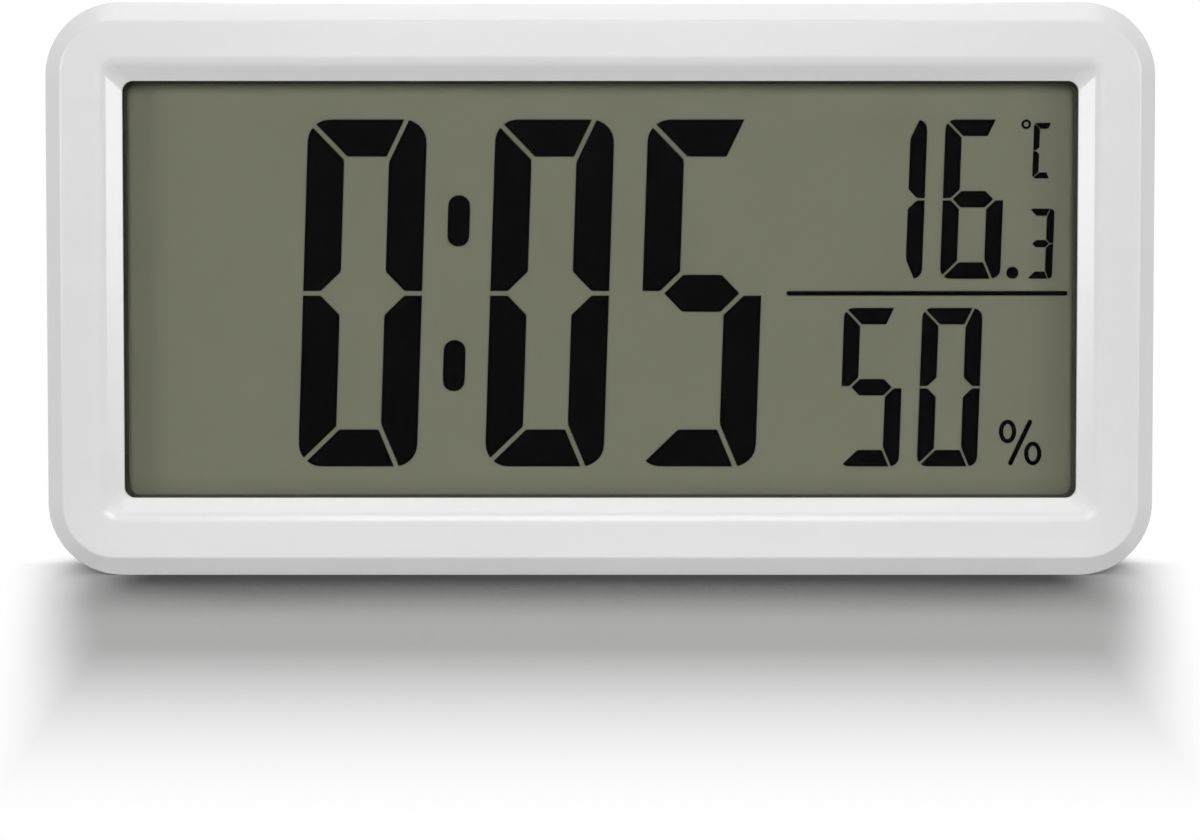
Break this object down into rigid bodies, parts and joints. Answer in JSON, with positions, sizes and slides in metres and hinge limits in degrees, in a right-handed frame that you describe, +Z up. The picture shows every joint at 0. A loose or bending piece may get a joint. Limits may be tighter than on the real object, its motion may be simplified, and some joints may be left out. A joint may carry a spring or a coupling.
{
  "type": "thermometer hygrometer clock",
  "caption": "Desk clock with a bevelled white case round a large reflective display of time, temperature and humidity, with a fold-out stand, hanging keyhole, rear buttons and battery door.",
  "frame": {"origin": "on the table, under the middle of the case", "axes": "+X to the right seen from the front, +Y from the front face to the back, +Z up"},
  "size_m": [0.165, 0.024, 0.0854],
  "materials": {
    "white_case": "satin moulded",
    "clear_window": "clear polished",
    "black_foam": "matte foam",
    "polariser_film": "clear film",
    "display_glass": "polished",
    "backed_glass": "polished, with a matte reflective backing",
    "edge_seal": "matte",
    "segment_black": "matte",
    "olive_reflector": "fine matte film",
    "grey_carrier": "moulded",
    "strip_rubber": "matte",
    "board_green": "solder mask",
    "black_epoxy": "glossy",
    "tinned_can": "tinned",
    "chip_ceramic": "matte",
    "sensor_cage": "moulded",
    "switch_black": "moulded",
    "cell_sleeve": "shrink sleeve with bare ends",
    "nickel_steel": "nickel plated",
    "red_wire": "insulation",
    "black_wire": "insulation",
    "screw_steel": "zinc plated",
    "button_grey": "satin moulded"
  },
  "bodies": {
    "casing": {"front_case": "white_case", "rear_cover": "white_case", "display_lens": "clear_window", "display_gasket": "black_foam", "front_polariser": "polariser_film", "lcd_front_glass": "display_glass", "lcd_seal": "edge_seal", "lcd_segments": "segment_black", "lcd_rear_glass": "backed_glass", "rear_reflector": "olive_reflector", "lcd_carrier": "grey_carrier", "zebra_strip": "strip_rubber", "main_board": "board_green", "controller_blob": "black_epoxy", "quartz_crystal": "tinned_can", "smd_components": "chip_ceramic", "humidity_sensor": "sensor_cage", "thermistor": "black_epoxy", "tact_switches": "switch_black", "battery_upper": "cell_sleeve", "battery_lower": "cell_sleeve", "spring_upper": "nickel_steel", "spring_lower": "nickel_steel", "positive_contact": "nickel_steel", "negative_contact": "nickel_steel", "bridge_contact": "nickel_steel", "positive_wire": "red_wire", "negative_wire": "black_wire", "rear_cover_screws": "screw_steel", "carrier_screws": "screw_steel", "pcb_screws": "screw_steel"},
    "stand": {"stand_leg": "white_case"},
    "battery_lid": {"battery_door": "white_case"},
    "set_key": {"set_button": "button_grey", "set_plunger": "switch_black"},
    "up_key": {"up_button": "button_grey", "up_plunger": "switch_black"},
    "down_key": {"down_button": "button_grey", "down_plunger": "switch_black"},
    "unit_key": {"unit_button": "button_grey", "unit_plunger": "switch_black"}
  },
  "joints": [
    {"name": "stand_hinge", "type": "hinge", "parent": "casing", "child": "stand", "pos_m": [0, 0.0105, 0.0505], "axis": [1, 0, 0], "range_deg": [0, 40]},
    {"name": "battery_lid_hinge", "type": "hinge", "parent": "casing", "child": "battery_lid", "pos_m": [0.0488, 0.01095, 0.01775], "axis": [-1, 0, 0], "range_deg": [0, 95]},
    {"name": "set_press", "type": "slide", "parent": "casing", "child": "set_key", "axis": [0, -1, 0], "range_m": [0, 0.0006], "stiffness_N_per_m": 2500},
    {"name": "up_press", "type": "slide", "parent": "casing", "child": "up_key", "axis": [0, -1, 0], "range_m": [0, 0.0006], "stiffness_N_per_m": 2500},
    {"name": "down_press", "type": "slide", "parent": "casing", "child": "down_key", "axis": [0, -1, 0], "range_m": [0, 0.0006], "stiffness_N_per_m": 2500},
    {"name": "unit_press", "type": "slide", "parent": "casing", "child": "unit_key", "axis": [0, -1, 0], "range_m": [0, 0.0006], "stiffness_N_per_m": 2500}
  ]
}
